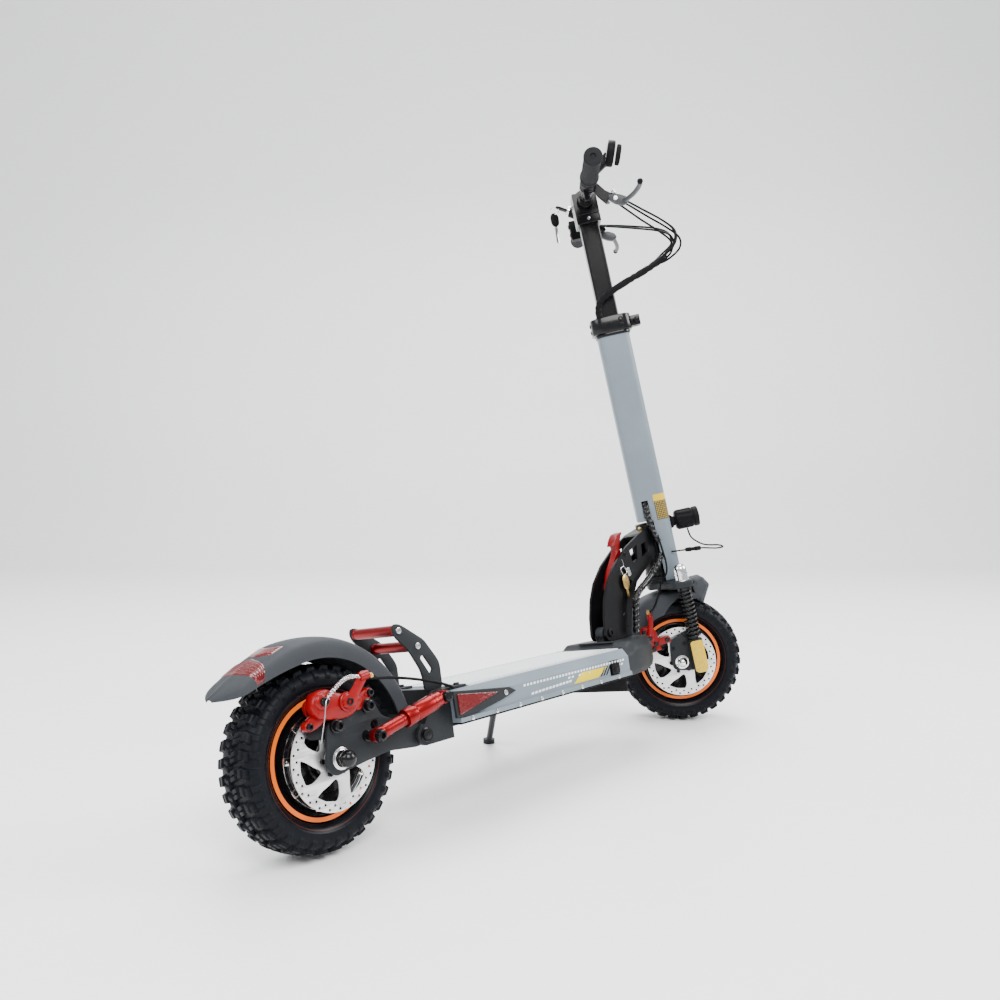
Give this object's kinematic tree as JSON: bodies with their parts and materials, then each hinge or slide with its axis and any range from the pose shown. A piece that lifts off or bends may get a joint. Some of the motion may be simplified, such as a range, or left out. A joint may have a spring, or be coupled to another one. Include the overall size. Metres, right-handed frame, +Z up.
{
  "type": "electric kick scooter",
  "caption": "Folding electric kick scooter with sprung fork and swingarm, disc brakes, kickstand and height-adjustable bar, standing leaned with its wheel turned.",
  "frame": {"origin": "on the ground at the middle of the standing scooter's box", "axes": "+X forward along the deck, +Y to the left, +Z up"},
  "size_m": [1.251, 0.4848, 1.158],
  "materials": {
    "frame_paint": "satin",
    "dark_paint": "matt",
    "black_paint": "satin",
    "red_anodised": "gloss",
    "silver_mat": "brushed",
    "steel": "machined",
    "chrome": "polished",
    "black_plastic": "moulded",
    "dark_plastic": "moulded",
    "tyre": "moulded",
    "grip_rubber": "ribbed",
    "red_lens": "honeycomb",
    "yellow_lens": "honeycomb",
    "battery_wrap": "film",
    "cable": "smooth"
  },
  "bodies": {
    "chassis": {"deck_shell": "frame_paint", "deck_mat": "silver_mat", "bottom_cover": "black_plastic", "deck_screws": "steel", "battery_pack": "battery_wrap", "motor_controller": "steel", "nose_casting": "dark_paint", "side_covers": "dark_plastic", "side_reflectors": "red_lens", "rear_bracket": "dark_paint", "pivot_bolts": "black_paint", "footrest_plates": "dark_paint", "footrest_bars": "red_anodised", "rear_brake_cable": "cable"},
    "charge_cap": {"charge_cap": "black_plastic"},
    "kickstand": {"kickstand": "dark_paint"},
    "neck": {"neck_arch": "black_paint", "head_tube": "black_paint", "neck_loom": "cable"},
    "latch": {"latch_lever": "red_anodised"},
    "steerer": {"stem_tube": "frame_paint", "stem_clamp": "black_paint", "fork_crown": "dark_paint", "front_springs": "black_paint", "headlight": "black_plastic", "front_fender": "dark_plastic", "front_cables": "cable"},
    "clamp_lever": {"clamp_lever": "dark_paint"},
    "fork_lowers": {"fork_lowers": "black_paint", "front_axle": "chrome", "leg_reflectors": "yellow_lens", "front_caliper": "red_anodised"},
    "front_caliper_arm": {"front_caliper_arm": "red_anodised"},
    "front_wheel": {"front_tyre": "tyre", "front_rim": "black_paint", "front_disc": "steel"},
    "swingarm": {"swingarm": "dark_paint", "rear_fender": "dark_plastic", "tail_light": "red_lens", "rear_axle": "steel", "rear_caliper": "red_anodised"},
    "rear_caliper_arm": {"rear_caliper_arm": "red_anodised"},
    "rear_wheel": {"rear_tyre": "tyre", "rear_motor_rim": "black_paint", "rear_disc": "steel"},
    "shock_bodies": {"shock_bodies": "red_anodised"},
    "shock_rods": {"shock_rods": "red_anodised"},
    "handlebar": {"bar_post": "black_paint", "bar_clamp": "black_paint", "handlebar": "black_paint", "grips": "grip_rubber", "display": "black_plastic", "brake_brackets": "dark_plastic", "control_pod": "black_plastic", "bar_cables": "cable"},
    "throttle": {"throttle_lever": "black_plastic"},
    "right_brake_lever": {"right_brake_lever": "dark_plastic"},
    "left_brake_lever": {"left_brake_lever": "dark_plastic"},
    "horn_button": {"horn_button": "red_lens"},
    "ignition_key": {"ignition_key": "steel"}
  },
  "joints": [
    {"name": "fold", "type": "hinge", "parent": "chassis", "child": "neck", "pos_m": [0.23053, -0.11077, 0.20599], "axis": [0.0001, -0.9839, 0.1788], "range_deg": [0, 78], "deforming": ["neck_loom"]},
    {"name": "latch", "type": "hinge", "parent": "neck", "child": "latch", "pos_m": [0.31463, -0.08466, 0.34958], "axis": [-0.0001, 0.9839, -0.1788], "range_deg": [0, 28], "stiffness_Nm_per_rad": 0.6, "springref_deg": -28.65},
    {"name": "steer", "type": "hinge", "parent": "neck", "child": "steerer", "pos_m": [0.44789, -0.08968, 0.3219], "axis": [-0.1229, 0.1774, 0.9764], "range_deg": [-9.5, 110.5], "deforming": ["front_cables"]},
    {"name": "clamp_cam", "type": "hinge", "parent": "steerer", "child": "clamp_lever", "pos_m": [0.42814, -0.04986, 0.83449], "axis": [0.7657, 0.6429, -0.0204], "range_deg": [0, 120]},
    {"name": "fork_travel", "type": "slide", "parent": "steerer", "child": "fork_lowers", "axis": [-0.1229, 0.1774, 0.9764], "range_m": [-0.004, 0.01], "stiffness_N_per_m": 14000, "springref_m": -0.0085, "deforming": ["front_springs"]},
    {"name": "front_wheel_spin", "type": "hinge", "parent": "fork_lowers", "child": "front_wheel", "pos_m": [0.475, -0.12814, 0.12748], "axis": [0.7657, 0.6429, -0.0204], "continuous": true},
    {"name": "front_brake_arm", "type": "hinge", "parent": "fork_lowers", "child": "front_caliper_arm", "pos_m": [0.37969, -0.12191, 0.17784], "axis": [-0.7657, -0.6429, 0.0204], "range_deg": [0, 16]},
    {"name": "stem_height", "type": "slide", "parent": "steerer", "child": "handlebar", "axis": [-0.1229, 0.1774, 0.9764], "range_m": [-0.12, 0.06], "deforming": ["bar_cables"]},
    {"name": "left_brake", "type": "hinge", "parent": "handlebar", "child": "left_brake_lever", "pos_m": [0.48966, 0.08506, 1.04713], "axis": [0.2931, -0.3205, 0.9008], "range_deg": [0, 20], "stiffness_Nm_per_rad": 2, "springref_deg": -8.59},
    {"name": "right_brake", "type": "hinge", "parent": "handlebar", "child": "right_brake_lever", "pos_m": [0.29134, -0.08144, 1.05242], "axis": [-0.2931, 0.3205, -0.9008], "range_deg": [0, 20], "stiffness_Nm_per_rad": 2, "springref_deg": -8.59},
    {"name": "throttle", "type": "hinge", "parent": "handlebar", "child": "throttle", "pos_m": [0.25252, -0.05611, 1.0798], "axis": [-0.7657, -0.6429, 0.0204], "range_deg": [0, 30], "stiffness_Nm_per_rad": 0.4, "springref_deg": -8.59},
    {"name": "horn", "type": "slide", "parent": "handlebar", "child": "horn_button", "axis": [0.6314, -0.7451, 0.2149], "range_m": [0, 0.0015], "stiffness_N_per_m": 900, "springref_m": -0.001},
    {"name": "key_turn", "type": "hinge", "parent": "handlebar", "child": "ignition_key", "pos_m": [0.41023, 0.11321, 1.08516], "axis": [-0.6006, 0.7259, 0.3352], "range_deg": [0, 90]},
    {"name": "swingarm", "type": "hinge", "parent": "chassis", "child": "swingarm", "pos_m": [-0.32152, -0.12507, 0.12766], "axis": [-0.0001, 0.9839, -0.1788], "range_deg": [-2, 9], "stiffness_Nm_per_rad": 620, "springref_deg": -1.72, "deforming": ["rear_brake_cable"]},
    {"name": "rear_wheel_spin", "type": "hinge", "parent": "swingarm", "child": "rear_wheel", "pos_m": [-0.47152, -0.12516, 0.12727], "axis": [-0.0001, 0.9839, -0.1788], "continuous": true},
    {"name": "rear_brake_arm", "type": "hinge", "parent": "swingarm", "child": "rear_caliper_arm", "pos_m": [-0.45746, -0.19189, 0.21308], "axis": [-0.0001, 0.9839, -0.1788], "range_deg": [0, 16]},
    {"name": "shock_swing", "type": "hinge", "parent": "chassis", "child": "shock_bodies", "pos_m": [-0.29249, -0.11624, 0.17625], "axis": [-0.0001, 0.9839, -0.1788], "range_deg": [-2, 7]},
    {"name": "shock_slide", "type": "slide", "parent": "shock_bodies", "child": "shock_rods", "axis": [-0.9759, -0.0392, -0.2148], "range_m": [-0.008, 0.002]},
    {"name": "kickstand", "type": "hinge", "parent": "chassis", "child": "kickstand", "pos_m": [0.00445, -0.03545, 0.09488], "axis": [0.0004, 0.7734, 0.634], "range_deg": [0, 117]},
    {"name": "charge_cap", "type": "hinge", "parent": "chassis", "child": "charge_cap", "pos_m": [0.13251, -0.20974, 0.17881], "axis": [-1, 0, 0.0007], "range_deg": [0, 100]}
  ],
  "couplings": [
    {"joint": "shock_swing", "follows": "swingarm", "ratio": 0.7087},
    {"joint": "shock_slide", "follows": "swingarm", "m_per_rad": -0.04185},
    {"joint": "rear_brake_arm", "follows": "left_brake", "ratio": 0.8},
    {"joint": "front_brake_arm", "follows": "right_brake", "ratio": 0.8}
  ]
}
